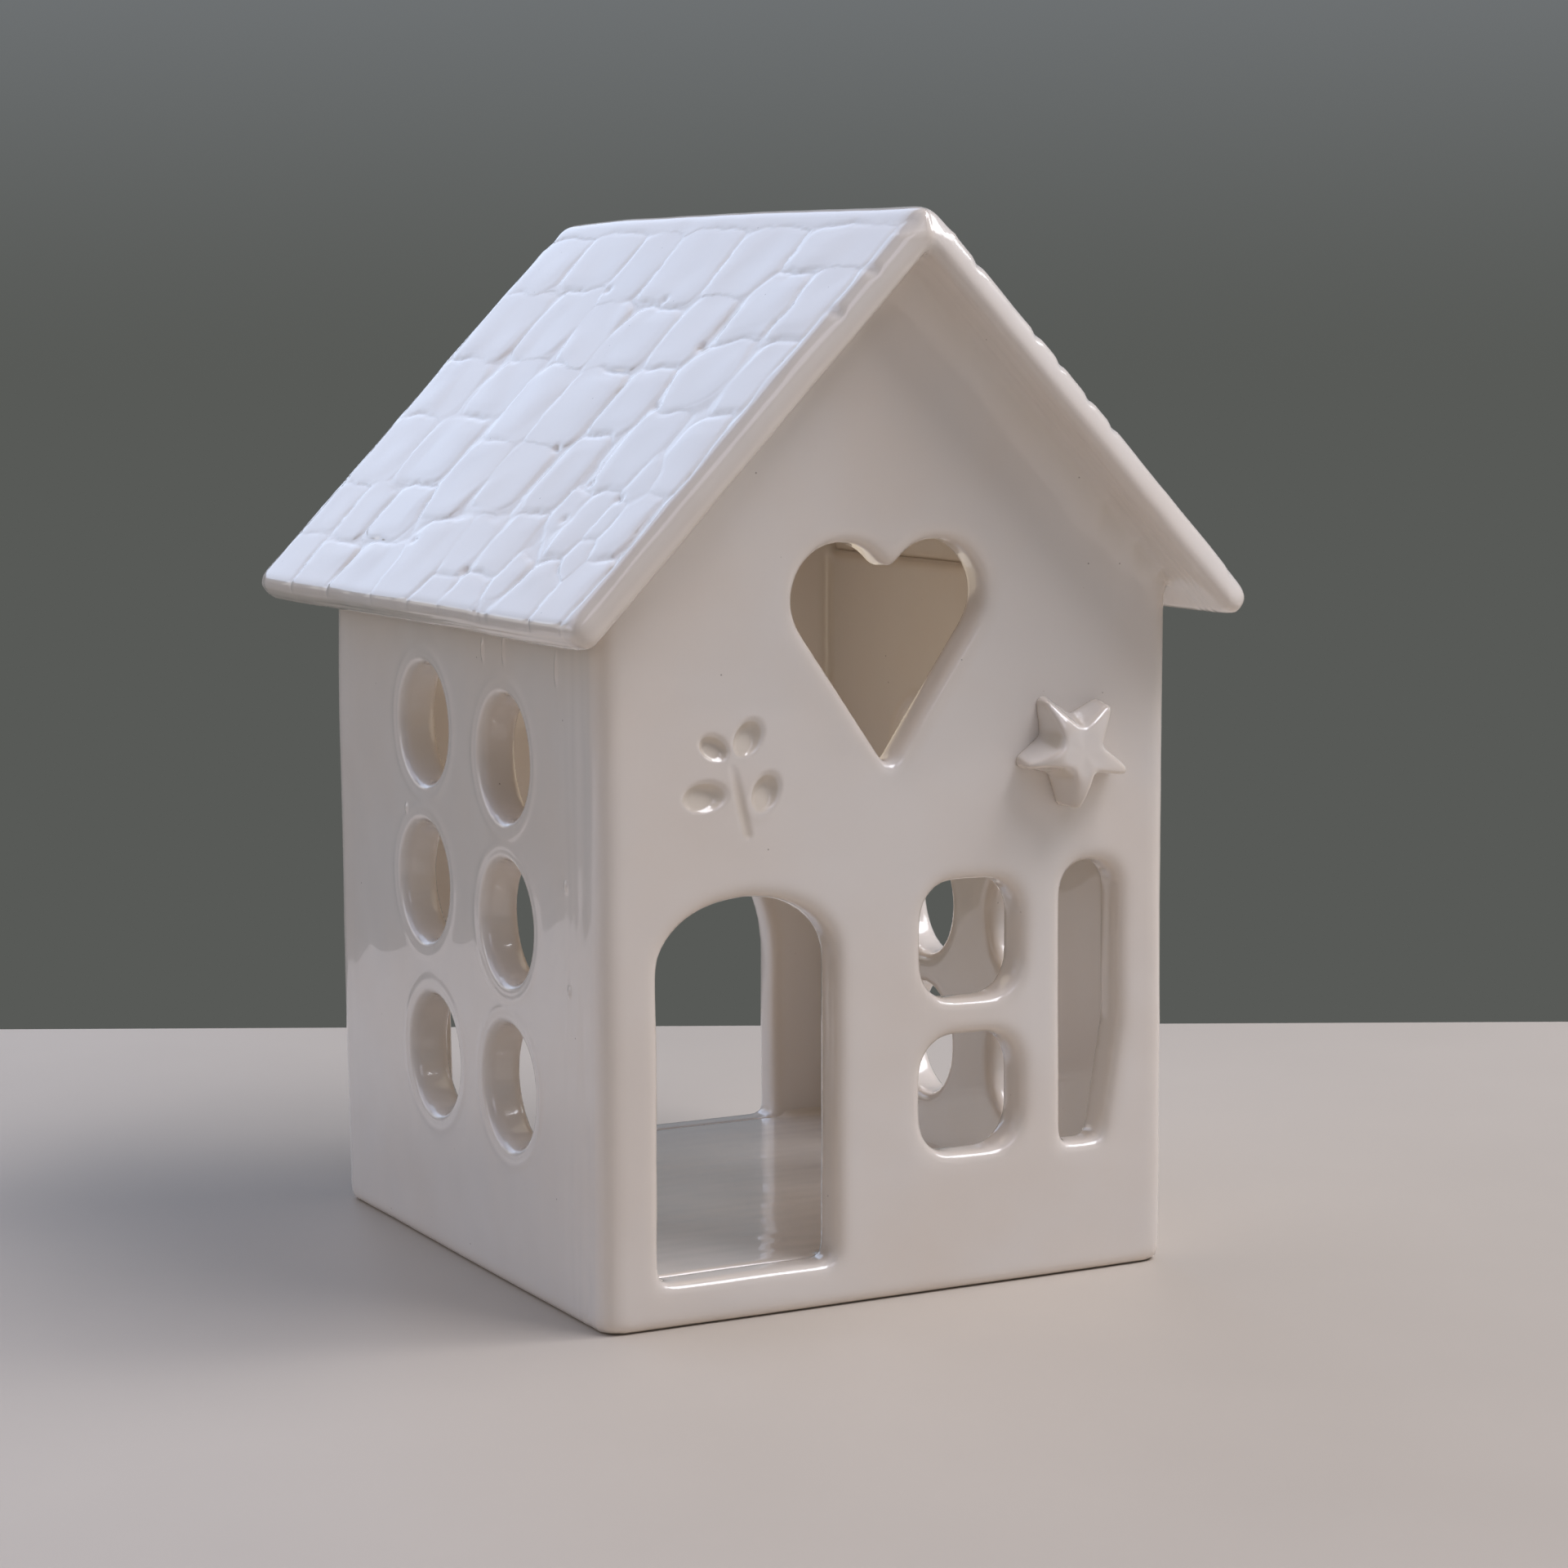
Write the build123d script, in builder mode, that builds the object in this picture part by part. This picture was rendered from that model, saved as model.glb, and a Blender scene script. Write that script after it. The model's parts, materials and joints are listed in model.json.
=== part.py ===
"""Slab-built ceramic tealight house, open at the back for a candle.

Millimetres, +Z up. The origin is the middle of the footprint on the ground, and the front faces -Y.
"""

import os
from math import cos, hypot, radians, sin, tan

from build123d import *

# Overall sizes of the house
house_width = 80.6
house_depth = 86.8
wall_height = 89.0
roof_pitch = 46.0

# Rolled clay slabs
wall_thickness = 5.5
base_thickness = 5.5
roof_thickness = 4.6

# Reach of the roof past the walls
gable_overhang = 9.7
eave_reach = 8.9

# Softened edges, as shares of the slab that carries them
corner_radius_share = 0.36
foot_radius_share = 0.15
rim_radius_share = 0.22
ridge_radius_share = 0.42
left_eave_radius_share = 0.34
right_eave_radius_share = 0.45
verge_radius_share = 0.32

# Door: a flat-topped arch with its sill level with the floor
door_width = 24.2
door_side_height = 38.5
door_rise = 8.4
door_sill_radius = 1.5
door_centre_share = -0.256

# Pair of windows, one above the other
window_width = 14.6
window_height = 15.1
window_radius = 4.8
window_gap = 4.6
window_sill_height = 11.9
window_centre_share = 0.138

# Tall slot, drawn in on one side towards its foot
slot_width = 8.5
slot_foot_width = 5.8
slot_height = 36.5
slot_sill_height = 11.6
slot_top_radius = 3.9
slot_foot_radius = 1.2
slot_bend_radius = 22.0
slot_bend_share = 0.42
slot_centre_share = 0.358

# Heart, from two lobes and straight sides
heart_width = 27.0
heart_height = 28.6
heart_lobe_radius = 6.9
heart_cleft_radius = 1.4
heart_tip_radius = 1.0
heart_centre_share = -0.008
heart_tip_share = 0.511

# Round-headed opening in the back, for putting the candle in
candle_arch_width = 51.0
candle_arch_height = 49.0

# Round holes in the side walls: places along the wall and up it
hole_diameter = 15.6
left_hole_shares = (
    (-0.190, 0.763),
    (0.157, 0.785),
    (-0.194, 0.528),
    (0.160, 0.549),
    (-0.194, 0.290),
    (0.126, 0.291),
)
right_hole_shares = (
    (-0.206, 0.692),
    (0.141, 0.692),
    (-0.206, 0.461),
    (0.141, 0.461),
    (-0.206, 0.236),
    (0.141, 0.236),
)
hole_bridge_share = 0.35

# Star cut from a slab and luted to the front
star_radius = 9.0
star_waist_share = 0.47
star_thickness = 5.2
star_turn = -95.0
star_points = 5
star_tip_radius = 1.0
star_edge_radius = 0.8
star_centre_shares = (0.306, 0.776)

# Leaf sprig pressed into the front: leaf places, lengths, widths and turns
sprig_size = 14.0
sprig_depth = 0.7
sprig_centre_shares = (-0.277, 0.757)
leaf_place_shares = ((-0.19, 0.24), (0.13, 0.36), (-0.26, -0.13), (0.31, -0.13))
leaf_length_shares = (0.29, 0.33, 0.38, 0.31)
leaf_width_shares = (0.19, 0.19, 0.22, 0.20)
leaf_turns = (-28.0, 52.0, 6.0, 58.0)
stem_width_share = 0.09
stem_end_shares = ((-0.02, 0.22), (0.12, -0.50))

# Clay coil pressed into the wedge over each side wall: its two edges across the wall
coil_edge_shares = (0.15, 0.78)

# Overrun of every cut past the faces it opens
overrun = 1.0

# Worked-out sizes
pitch = radians(roof_pitch)
half_width = house_width / 2
half_depth = house_depth / 2
inner_half_width = half_width - wall_thickness
inner_half_depth = half_depth - wall_thickness
inner_width = 2 * inner_half_width
inner_depth = 2 * inner_half_depth
gable_height = wall_height + half_width * tan(pitch)
apex_height = gable_height + roof_thickness / cos(pitch)
half_span = half_width + eave_reach
eave_height = apex_height - half_span * tan(pitch)
half_roof_depth = half_depth + gable_overhang
lap_length = roof_thickness / sin(2 * pitch)
corner_radius = corner_radius_share * wall_thickness
foot_radius = foot_radius_share * wall_thickness
rim_radius = rim_radius_share * wall_thickness
ridge_radius = ridge_radius_share * roof_thickness
left_eave_radius = left_eave_radius_share * roof_thickness
right_eave_radius = right_eave_radius_share * roof_thickness
verge_radius = verge_radius_share * roof_thickness

# Faces that the profiles are drawn on
front_plane = Plane.XZ.offset(half_depth)
back_plane = Plane.XZ.offset(-inner_half_depth)
left_plane = Plane.YZ.offset(-half_width)
right_plane = Plane.YZ.offset(inner_half_width)

os.makedirs("parts", exist_ok=True)


def rims(wall, axis):
    """Edges round every opening on the two broad faces of a wall."""
    faces = wall.faces().sort_by(axis)
    wires = faces[0].inner_wires() + faces[-1].inner_wires()
    return ShapeList(edge for wire in wires for edge in wire.edges())


def gable_outline():
    """Outline of a gable wall, from the ground to the underside of the roof."""
    return Polygon(
        (-half_width, 0),
        (half_width, 0),
        (half_width, wall_height),
        (0, gable_height),
        (-half_width, wall_height),
    )


def hole_places(shares):
    """Middles of a side wall's holes, along it and up it."""
    return [(along * inner_depth, up * wall_height) for along, up in shares]


def hole_rim(shares):
    """Rim radius of a side wall's holes, held to a share of the clay between two of them."""
    places = hole_places(shares)
    spacings = [
        hypot(a[0] - b[0], a[1] - b[1])
        for index, a in enumerate(places)
        for b in places[:index]
    ]
    return min(rim_radius, hole_bridge_share * (min(spacings) - hole_diameter))


# Base slab: the floor, set inside the four walls
with BuildPart() as base_slab:
    with BuildSketch():
        Rectangle(inner_width, inner_depth)
    extrude(amount=base_thickness)

# Front gable wall: full width, with the door, windows, slot and heart cut through
with BuildPart() as front_gable:
    with BuildSketch(front_plane):
        gable_outline()
    extrude(amount=-wall_thickness)

    door_spring_height = base_thickness + door_side_height
    door_left = door_centre_share * house_width - door_width / 2
    door_right = door_left + door_width
    with BuildSketch(front_plane.offset(overrun)) as door:
        with BuildLine():
            Polyline(
                (door_left, door_spring_height),
                (door_left, base_thickness),
                (door_right, base_thickness),
                (door_right, door_spring_height),
            )
            EllipticalCenterArc(
                ((door_left + door_right) / 2, door_spring_height),
                door_width / 2,
                door_rise,
                start_angle=0,
                arc_size=180,
            )
        make_face()
        fillet(door.vertices().group_by(Axis.Y)[0], door_sill_radius)
    extrude(amount=-wall_thickness - 2 * overrun, mode=Mode.SUBTRACT)

    lower_window_middle = base_thickness + window_sill_height + window_height / 2
    window_middles = (lower_window_middle, lower_window_middle + window_height + window_gap)
    with BuildSketch(front_plane.offset(overrun)):
        with Locations(*((window_centre_share * house_width, middle) for middle in window_middles)):
            RectangleRounded(window_width, window_height, window_radius)
    extrude(amount=-wall_thickness - 2 * overrun, mode=Mode.SUBTRACT)

    slot_left = slot_centre_share * house_width - slot_width / 2
    slot_foot = base_thickness + slot_sill_height
    slot_top = slot_foot + slot_height
    slot_bend = (slot_left + slot_width, slot_foot + slot_bend_share * slot_height)
    with BuildSketch(front_plane.offset(overrun)) as slot:
        Polygon(
            (slot_left, slot_foot),
            (slot_left + slot_foot_width, slot_foot),
            slot_bend,
            (slot_left + slot_width, slot_top),
            (slot_left, slot_top),
        )
        fillet(slot.vertices().group_by(Axis.Y)[0], slot_foot_radius)
        fillet(slot.vertices().group_by(Axis.Y)[-1], slot_top_radius)
        fillet(slot.vertices().sort_by_distance(slot_bend)[0], slot_bend_radius)
    extrude(amount=-wall_thickness - 2 * overrun, mode=Mode.SUBTRACT)

    lobe_middle = heart_width / 2 - heart_lobe_radius
    lobe_height = heart_height - heart_lobe_radius
    lobe_distance = hypot(lobe_middle, lobe_height)
    side_share = 1 - (heart_lobe_radius / lobe_distance) ** 2
    across_share = heart_lobe_radius * side_share**0.5 / lobe_distance
    tangent_x = side_share * lobe_middle + across_share * lobe_height
    tangent_z = side_share * lobe_height - across_share * lobe_middle
    heart_tip = (heart_centre_share * house_width, heart_tip_share * gable_height)
    with BuildSketch(front_plane.offset(overrun)) as heart:
        with Locations(heart_tip):
            Polygon(
                (0, 0),
                (tangent_x, tangent_z),
                (lobe_middle, lobe_height),
                (-lobe_middle, lobe_height),
                (-tangent_x, tangent_z),
            )
            with Locations((-lobe_middle, lobe_height), (lobe_middle, lobe_height)):
                Circle(heart_lobe_radius)
        fillet(heart.vertices().sort_by(Axis.Y)[0], heart_tip_radius)
        fillet(heart.vertices().sort_by(Axis.Y)[-1], heart_cleft_radius)
    extrude(amount=-wall_thickness - 2 * overrun, mode=Mode.SUBTRACT)

    fillet(rims(front_gable, Axis.Y), rim_radius)
    fillet(front_gable.edges().filter_by(Axis.Z).group_by(Axis.Y)[0], corner_radius)
    fillet(front_gable.faces().sort_by(Axis.Z)[0].edges().group_by(Axis.Y)[0], foot_radius)

    sprig_middle = (sprig_centre_shares[0] * house_width, sprig_centre_shares[1] * wall_height)
    with BuildSketch(front_plane.offset(overrun)):
        with Locations(sprig_middle):
            leaves = zip(leaf_place_shares, leaf_length_shares, leaf_width_shares, leaf_turns)
            for place, length, width, turn in leaves:
                with Locations((place[0] * sprig_size, place[1] * sprig_size)):
                    Ellipse(length * sprig_size / 2, width * sprig_size / 2, rotation=turn)
            stem_top, stem_foot = (Vector(*end) * sprig_size for end in stem_end_shares)
            SlotCenterPoint((stem_top + stem_foot) / 2, stem_foot, stem_width_share * sprig_size)
    extrude(amount=-sprig_depth - overrun, mode=Mode.SUBTRACT)

# Back gable wall: full width, with the candle opening down to the floor
with BuildPart() as back_gable:
    with BuildSketch(back_plane):
        gable_outline()
    extrude(amount=-wall_thickness)

    arch_radius = candle_arch_width / 2
    arch_spring_height = base_thickness + candle_arch_height - arch_radius
    with BuildSketch(back_plane.offset(overrun)):
        with BuildLine():
            Polyline(
                (-arch_radius, arch_spring_height),
                (-arch_radius, base_thickness),
                (arch_radius, base_thickness),
                (arch_radius, arch_spring_height),
            )
            CenterArc((0, arch_spring_height), arch_radius, start_angle=0, arc_size=180)
        make_face()
    extrude(amount=-wall_thickness - 2 * overrun, mode=Mode.SUBTRACT)

    fillet(rims(back_gable, Axis.Y), rim_radius)
    fillet(back_gable.edges().filter_by(Axis.Z).group_by(Axis.Y)[-1], corner_radius)
    fillet(back_gable.faces().sort_by(Axis.Z)[0].edges().group_by(Axis.Y)[-1], foot_radius)

# Left side wall: between the gables, with its round holes
with BuildPart() as left_side_wall:
    with BuildSketch(left_plane):
        Rectangle(inner_depth, wall_height, align=(Align.CENTER, Align.MIN))
    extrude(amount=wall_thickness)
    with BuildSketch(left_plane.offset(-overrun)):
        with Locations(*hole_places(left_hole_shares)):
            Circle(hole_diameter / 2)
    extrude(amount=wall_thickness + 2 * overrun, mode=Mode.SUBTRACT)
    fillet(rims(left_side_wall, Axis.X), hole_rim(left_hole_shares))
    fillet(left_side_wall.faces().sort_by(Axis.Z)[0].edges().sort_by(Axis.X)[0], foot_radius)

# Right side wall: the same panel with its own holes
with BuildPart() as right_side_wall:
    with BuildSketch(right_plane):
        Rectangle(inner_depth, wall_height, align=(Align.CENTER, Align.MIN))
    extrude(amount=wall_thickness)
    with BuildSketch(right_plane.offset(-overrun)):
        with Locations(*hole_places(right_hole_shares)):
            Circle(hole_diameter / 2)
    extrude(amount=wall_thickness + 2 * overrun, mode=Mode.SUBTRACT)
    fillet(rims(right_side_wall, Axis.X), hole_rim(right_hole_shares))
    fillet(right_side_wall.faces().sort_by(Axis.Z)[0].edges().sort_by(Axis.X)[-1], foot_radius)

# Corners of the roof's section, where the left slab runs on over the end of the right one
apex = (0, apex_height)
inner_apex = (0, gable_height)
lap_end = (lap_length * cos(pitch), apex_height - lap_length * sin(pitch))
right_eave_top = (half_span, eave_height)
right_eave_foot = (half_span - roof_thickness * sin(pitch), eave_height - roof_thickness * cos(pitch))
left_eave_top = (-right_eave_top[0], right_eave_top[1])
left_eave_foot = (-right_eave_foot[0], right_eave_foot[1])

# Left roof slab: its upper end laps over the right slab and makes the ridge
with BuildPart() as left_roof_slab:
    with BuildSketch(Plane.XZ) as left_section:
        Polygon(left_eave_foot, lap_end, apex, left_eave_top)
        fillet(left_section.vertices().sort_by(Axis.X)[:2], left_eave_radius)
        fillet(left_section.vertices().sort_by(Axis.Y)[-1], ridge_radius)
    extrude(amount=half_roof_depth, both=True)
    fillet(left_roof_slab.faces().filter_by(Axis.Y).edges(), verge_radius)

# Right roof slab: its upper end butts against the underside of the left one
with BuildPart() as right_roof_slab:
    with BuildSketch(Plane.XZ) as right_section:
        Polygon(inner_apex, right_eave_foot, right_eave_top, lap_end)
        fillet(right_section.vertices().sort_by(Axis.X)[-2:], right_eave_radius)
    extrude(amount=half_roof_depth, both=True)
    fillet(right_roof_slab.faces().filter_by(Axis.Y).edges().sort_by(Axis.X)[2:], verge_radius)

# Star: cut from a slab and luted flat to the front
with BuildPart() as star_ornament:
    star_corners = []
    for corner in range(2 * star_points):
        reach = star_radius * (star_waist_share if corner % 2 else 1)
        angle = radians(star_turn + corner * 180 / star_points)
        star_corners.append((reach * cos(angle), reach * sin(angle)))
    star_middle = (star_centre_shares[0] * house_width, star_centre_shares[1] * wall_height)
    with BuildSketch(front_plane) as star:
        with Locations(star_middle):
            Polygon(*star_corners)
        fillet(star.vertices(), star_tip_radius)
    extrude(amount=star_thickness)
    fillet(star_ornament.faces().sort_by(Axis.Y)[0].edges(), star_edge_radius)

# Eave coils: clay pressed into the wedge between each side wall's square top and the roof
coil_outer, coil_inner = (half_width - share * wall_thickness for share in coil_edge_shares)
coil_corners = (
    (coil_outer, wall_height),
    (coil_inner, wall_height),
    (coil_inner, gable_height - coil_inner * tan(pitch)),
    (coil_outer, gable_height - coil_outer * tan(pitch)),
)
with BuildPart() as right_eave_coil:
    with BuildSketch(Plane.XZ):
        Polygon(*coil_corners)
    extrude(amount=inner_half_depth, both=True)

with BuildPart() as left_eave_coil:
    with BuildSketch(Plane.XZ):
        Polygon(*((-across, up) for across, up in coil_corners))
    extrude(amount=inner_half_depth, both=True)

pieces = {
    "base_slab": base_slab,
    "front_gable": front_gable,
    "back_gable": back_gable,
    "left_side_wall": left_side_wall,
    "right_side_wall": right_side_wall,
    "left_eave_coil": left_eave_coil,
    "right_eave_coil": right_eave_coil,
    "left_roof_slab": left_roof_slab,
    "right_roof_slab": right_roof_slab,
    "star_ornament": star_ornament,
}
for name, piece in pieces.items():
    piece.part.label = name
    export_step(piece.part, f"parts/{name}.step")
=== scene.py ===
"""Glazed tealight house: the looks around the packed clay slabs, laid out as an add-on.

The walls and the roof slabs are copied from their CAD nodes and run together into one luted shell, which
is evened to small quads, rounded as wet clay rounds, pressed, marked and moved a little, as slabs move when
they are luted and fired, and then cut back into its pieces. The floor, the coils and the star are made in
the same way, each from its own node. Metres, +Z up, the front faces -Y.
"""

import json
from functools import partial
from math import atan2, cos, pi, radians, sin, tan

import bmesh
import bpy
import numpy as np
from mathutils import Matrix, Vector, noise


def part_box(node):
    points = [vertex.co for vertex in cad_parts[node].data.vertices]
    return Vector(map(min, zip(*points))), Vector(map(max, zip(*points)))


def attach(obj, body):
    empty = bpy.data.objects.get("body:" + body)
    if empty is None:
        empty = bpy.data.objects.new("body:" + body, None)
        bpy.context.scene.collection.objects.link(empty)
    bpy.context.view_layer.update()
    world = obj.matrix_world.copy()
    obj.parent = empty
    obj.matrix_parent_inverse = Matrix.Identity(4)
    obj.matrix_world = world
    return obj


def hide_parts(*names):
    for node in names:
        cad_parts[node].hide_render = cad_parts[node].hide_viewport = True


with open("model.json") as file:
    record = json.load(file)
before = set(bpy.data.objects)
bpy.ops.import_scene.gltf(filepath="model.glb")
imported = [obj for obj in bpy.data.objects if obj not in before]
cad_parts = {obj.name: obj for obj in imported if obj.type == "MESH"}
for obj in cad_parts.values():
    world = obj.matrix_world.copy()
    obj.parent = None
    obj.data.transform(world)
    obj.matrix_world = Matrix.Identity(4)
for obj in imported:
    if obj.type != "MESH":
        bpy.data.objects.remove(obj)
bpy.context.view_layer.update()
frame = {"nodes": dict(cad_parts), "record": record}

bl_info = {
    "name": "Tealight house",
    "version": (1, 0, 0),
    "blender": (4, 5, 0),
    "location": "View3D > Sidebar > House",
    "description": "Soft glazed clay slabs, roof, star and stage of a tealight house",
    "category": "Add Mesh",
}

MM = 0.001
WELD = 0.001 * MM
NOISE_SEED = 5
BODY = "root"

# The house's own sizes, read from the CAD nodes
_left_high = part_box("left_side_wall")[1]
_front_low, _front_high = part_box("front_gable")
WALL_TOP = _left_high.z
GABLE_TOP = _front_high.z
HALF_WIDTH = _front_high.x
INNER_HALF_WIDTH = -_left_high.x
INNER_HALF_DEPTH = _left_high.y
FRONT_FACE = _front_low.y
PITCH = atan2(GABLE_TOP - WALL_TOP, HALF_WIDTH)
LEFT_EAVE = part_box("left_roof_slab")[0].x
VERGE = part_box("left_roof_slab")[1].y
RIGHT_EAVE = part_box("right_roof_slab")[1].x
STAR_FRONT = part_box("star_ornament")[0].y
STAR_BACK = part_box("star_ornament")[1].y
FLOOR_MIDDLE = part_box("base_slab")[1].z / 2
LUTED_NODES = (
    "front_gable", "back_gable", "left_side_wall", "right_side_wall", "left_roof_slab", "right_roof_slab")

# The star on the front: its middle, the direction of its lowest point, and the root that is luted to the wall
STAR_X = 0.612 * HALF_WIDTH
STAR_Z = 0.776 * WALL_TOP
STAR_POINTS = 5
STAR_TURN = radians(-95)
STAR_ROOT = 0.6 * MM

# The sprig pressed into the front: its middle, its size, and how far and how deep its zone goes
SPRIG_X = -0.554 * HALF_WIDTH
SPRIG_Z = 0.757 * WALL_TOP
SPRIG_SIZE = 14 * MM
SPRIG_REACH = 9 * MM
SPRIG_SKIN = 2 * MM
STEM_DEPTH = 0.2 * MM
LEAF_DEPTH = 1.4 * MM
LEAF_SHALLOW = 0.12
LIP_HEIGHT = 0.06 * MM

# Leaves of the sprig, as shares of its size: middle across, middle up, half length, half width,
# and the turn in degrees
LEAVES = (
    (-0.20, 0.26, 0.15, 0.105, -28),
    (0.12, 0.33, 0.175, 0.125, 55),
    (-0.30, -0.16, 0.21, 0.13, 4),
    (0.29, -0.16, 0.175, 0.125, 62),
)
STEM_TOP = Vector((-0.05, 0.22))
STEM_FOOT = Vector((0.12, -0.50))
STEM_HALF_WIDTH = 0.07

# Openings stated in the record, by name
OPENINGS = {
    opening["name"]: [Vector(corner) for corner in opening["box_m"]]
    for opening in frame["record"]["physics"]["openings"]}
DOOR = OPENINGS["door"]
CANDLE_OPENING = OPENINGS["candle_opening_low"]
# Middle and radius of each round hole in the side walls, from the square openings that fit inside them
HOLES = [
    ((low + high) / 2, (high.y - low.y) / 2 * 2 ** 0.5)
    for name, (low, high) in OPENINGS.items() if "_hole_" in name]

# Zones of the shell that are rounded on their own: how far they go in from an edge, and how far below the
# underside of the roof they start or end
CORNER_WIDTH = 2.5 * MM
CORNER_BELOW = 0.8 * MM
COVE_START = -1.2 * MM
COVE_REACH = 6.5 * MM
COVE_ENDS = (2 * MM, 6 * MM, 11 * MM)
VERGE_WIDTH = 3.2 * MM
VERGE_BELOW = 1 * MM
EAVE_WIDTH = 4 * MM
CRISP_EAVE_WIDTH = 2.5 * MM
ROOF_BELOW = -0.6 * MM
RIDGE_HALF_WIDTH = 7 * MM
RIDGE_FOOT = 2 * MM
GABLE_SKIN = 3 * MM
GABLE_EDGE = 4 * MM
GABLE_FOOT = 3 * MM
GABLE_BELOW = 7 * MM
WALL_SKIN = 1 * MM
SLAB_BELOW = 0.5 * MM

# Zones with finer quads: half width and half height round a run of glaze, and in mm the distance from the
# stones' joints and how deep they go, the level of the roof's underside and how far along it from the right
# verge, and the left eave's end
RUN_ZONE = (1.5 * MM, 3.5 * MM)
JOINT_ZONE = 0.45
JOINT_FOOT = -1.2
SOFFIT = -4.0
SOFFIT_ZONE = 9
EAVE_ZONE = 1

# The shell is cut this far below the roof's underside, and this far inside the gables' inner faces
ROOF_CUT = 0.9 * MM
SEAM_INSET = 0.8 * MM

# Marks on the side walls. Widths are in mm, and a ring round a hole has a place outside it, a width
# and a share of the rim's height.
SEAM_STRAY = 1.2
SEAM_WIDTH = 1.1
SEAM_DEPTH = 0.06 * MM
LINES_WIDTH = 5
LINES_HEIGHT = 0.06 * MM
CUT_RING = (0.9, 0.5, 1.0)
OUTER_RING = (2.2, 0.6, 0.6)
RINGS_FROM = -0.2
RINGS_TO = 3.2
RUN_HEIGHT = 0.22 * MM

# The floor's cove, its lap into the walls and its fine grain, and the coils' smear over their joints
FOOT = 1 * MM
FOOT_FADE = 6 * MM
FLOOR_COVE = 2.2 * MM
FLOOR_LAP = 0.6 * MM
FLOOR_GRAIN = 0.035 * MM
COIL_SMEAR = 0.35 * MM
SILL_EDGE = 1 * MM

# Runs of glaze on the left wall, in mm: place along it and up it, half width and half height
RUNS = (
    (-8.3, 81.0, 0.35, 1.3),
    (-15.0, 81.4, 0.3, 1.6),
    (-31.1, 80.4, 0.35, 1.8),
    (17.7, 58.0, 0.4, 0.6),
    (-33.2, 54.1, 0.4, 0.7),
    (-33.8, 41.1, 0.4, 0.6),
)

# Stones pressed into a roof slab, in mm from its ridge end at the gable:
# middle along the ridge, middle down the slope, size along, size down, turn in degrees
STONES = (
    (53, -6, 150, 20.6, 0),
    (-0.4, 36, 6.2, 96, 0),
    (106.6, 36, 4, 96, 0),
    (13.5, 8.2, 20.6, 7.2, 2),
    (32.8, 10.3, 15.6, 11.6, 0),
    (50.6, 11.2, 17.6, 12.8, -2),
    (65.8, 10.8, 10.6, 12.6, 0),
    (80, 9.6, 16, 9.6, 1),
    (96.5, 9.9, 15.4, 10.2, 0),
    (8.4, 18.2, 10.4, 12, 0),
    (20.4, 18.9, 11.6, 11.8, 4),
    (34.6, 22.6, 12.2, 12.2, 0),
    (49.1, 24, 14.2, 10.4, 0),
    (63.5, 23, 11.4, 10.4, 0),
    (77.7, 21.2, 13.8, 12, 0),
    (95, 21.8, 18, 12.2, 0),
    (7.3, 30.2, 7.6, 10.8, 0),
    (20.3, 29.6, 13.6, 11, 28),
    (34.9, 34.2, 11.8, 11.4, 0),
    (49.2, 36, 14.4, 13, 0),
    (63.4, 35.5, 12.4, 13.2, 0),
    (77.4, 33, 12.8, 10.2, 0),
    (95.2, 33.4, 17.4, 10.2, 0),
    (8, 42.6, 8.8, 12.4, 12),
    (22, 42.5, 11.2, 12.8, 0),
    (36.4, 46.8, 10.4, 13.2, 0),
    (50.2, 47.8, 12.8, 10.8, 0),
    (64.5, 49.1, 11.6, 13.2, 0),
    (79.6, 44.3, 15, 11, 0),
    (96.4, 45, 14.6, 12, 0),
    (12.6, 47.2, 7, 6, -15),
    (8.7, 54, 7, 9.8, 0),
    (21, 54.3, 7.2, 10.2, 0),
    (27.6, 51.8, 5.6, 5.4, 0),
    (35.5, 58.9, 8.6, 10.6, 0),
    (46.4, 60, 7, 8.8, 0),
    (56.9, 63, 13.2, 14, 0),
    (75.5, 55.8, 13, 9.5, 0),
    (87.6, 56.4, 9.6, 9, 0),
    (98.2, 56.2, 10.2, 9.2, 0),
    (14.8, 53.2, 3.6, 4.2, 0),
    (7.8, 64.8, 9.4, 10.4, 0),
    (14.2, 59.6, 6.2, 5.8, 0),
    (19, 66, 10.6, 10, 0),
    (28.2, 63.6, 6.4, 6.2, 0),
    (36, 69, 10.4, 9, -10),
    (45.6, 69.4, 9.4, 8.2, 0),
    (71, 66.4, 15, 10, 0),
    (86, 66.8, 12.4, 9.4, 0),
    (98.4, 66.6, 11, 9.6, 0),
)

# Deeper pits where stones meet, in the same axes
PITS = ((28, 25), (27, 35), (26, 54), (45, 43), (64, 60), (27, 48), (50, 17), (70, 15), (16, 50), (41, 64))
PIT_DEPTH = 0.3
PIT_LENGTH = 0.9
PIT_WIDTH = 0.6

# Nicks in the front verge of each slab by its side, down the slope
NICKS = {-1: (12, 19), 1: (11, 23, 28, 34, 39)}
NICK_DEPTH = 0.3
NICK_WIDTH = 0.7

# How the stones' outlines wander and fray, in mm: how far, and over what length
WANDER = 1.0
WANDER_LENGTH = 7.5
FRAY = 0.3
FRAY_LENGTH = 2.2
# Powers that make a stone's outline a rounded block, and the wide band along the ridge nearly square
STONE_POWER = 4.2
BAND_POWER = 8.0
BAND_SIZE = 20
# Most that a stone's end stands proud or low, how far the stones lie below the plain edges, their crown and
# its shoulder, and how far outside all outlines a gap opens
MOST_LIFT = 0.12
STONE_SINK = 0.16
CROWN = 0.1
CROWN_SHOULDER = 2.6
GAP = 0.6

# How far each eave is drawn in, in mm, and the fine lines that smoothing left at the left eave and under the
# right verge
EAVE_DRAWN = {-1: 0.4, 1: 1.3}
EAVE_LINES = 0.07
VERGE_LINES = 0.06

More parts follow.
